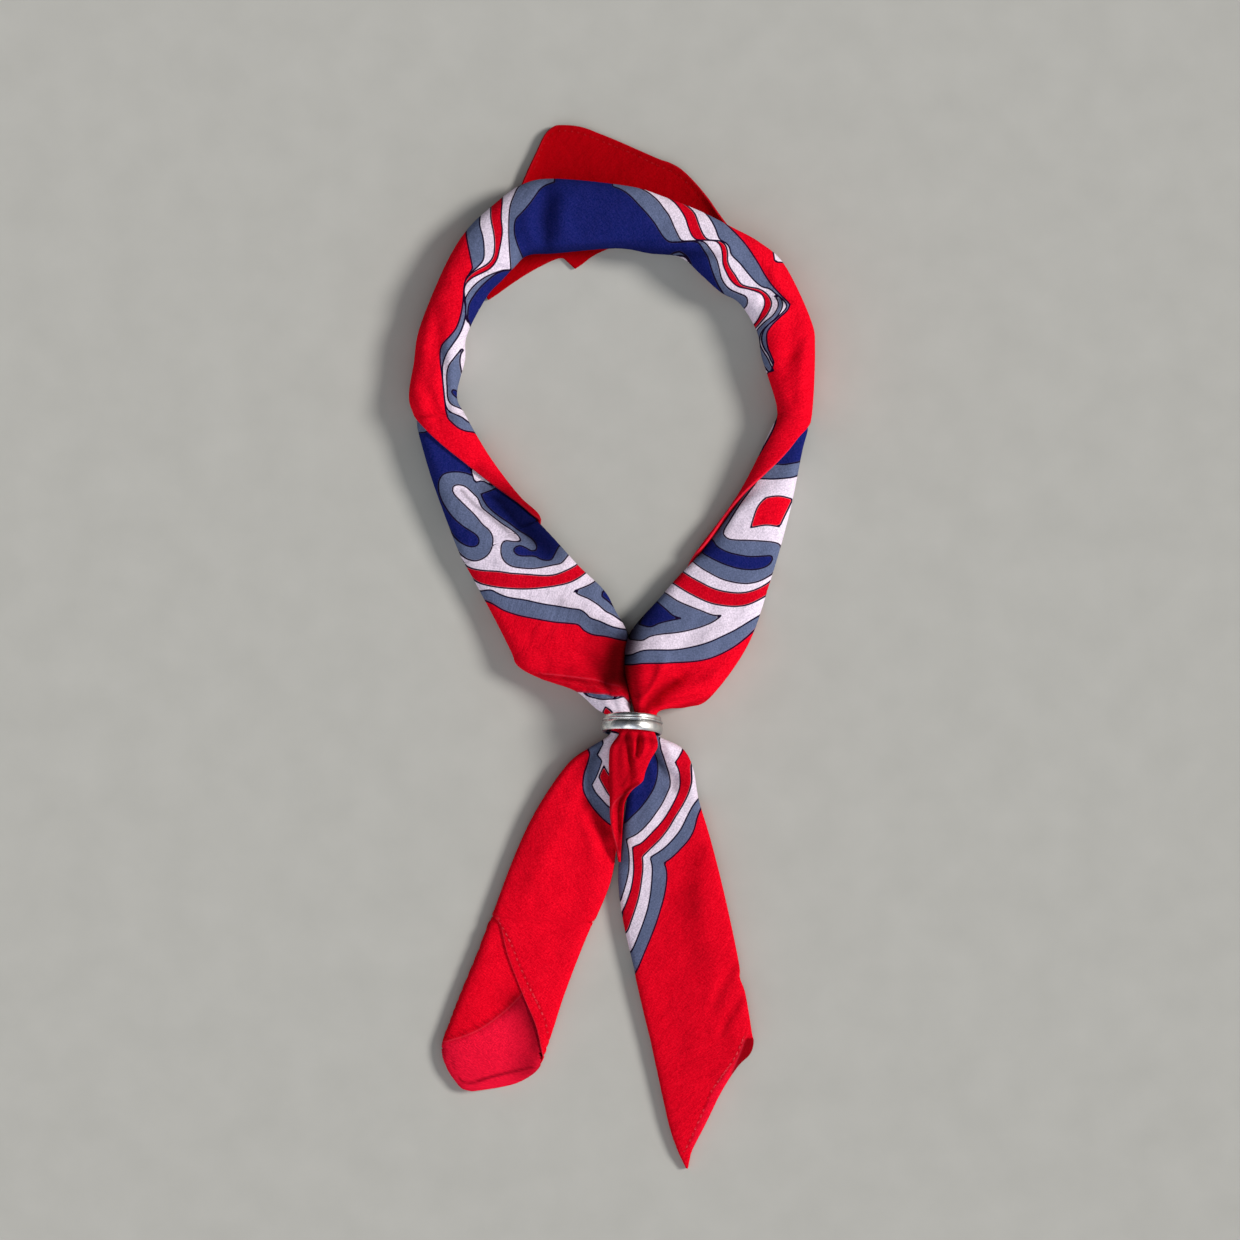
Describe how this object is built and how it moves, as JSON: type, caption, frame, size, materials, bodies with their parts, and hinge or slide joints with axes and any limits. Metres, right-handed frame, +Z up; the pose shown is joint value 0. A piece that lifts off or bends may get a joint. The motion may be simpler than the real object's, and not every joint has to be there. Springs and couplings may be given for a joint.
{
  "type": "rolled neckerchief with slide ring",
  "caption": "Printed cotton square rolled into a neck band, its ends drawn through a metal slide ring and spread as two tails.",
  "frame": {"origin": "centre of the bounding box on the surface that the neckerchief lies on", "axes": "+X across the neck opening towards the pointed tail's side, +Y from the tails to the back of the neck, +Z up from the surface"},
  "size_m": [0.1462, 0.377, 0.023],
  "materials": {
    "printed_cotton": "matt plain-weave cotton, printed red, navy, slate and white",
    "polished_steel": "polished silver-coloured metal"
  },
  "bodies": {
    "root": {"neck_roll": "printed_cotton", "left_tail": "printed_cotton", "right_tail": "printed_cotton", "centre_pleat": "printed_cotton", "back_corner": "printed_cotton", "slide_ring": "polished_steel"}
  },
  "joints": []
}
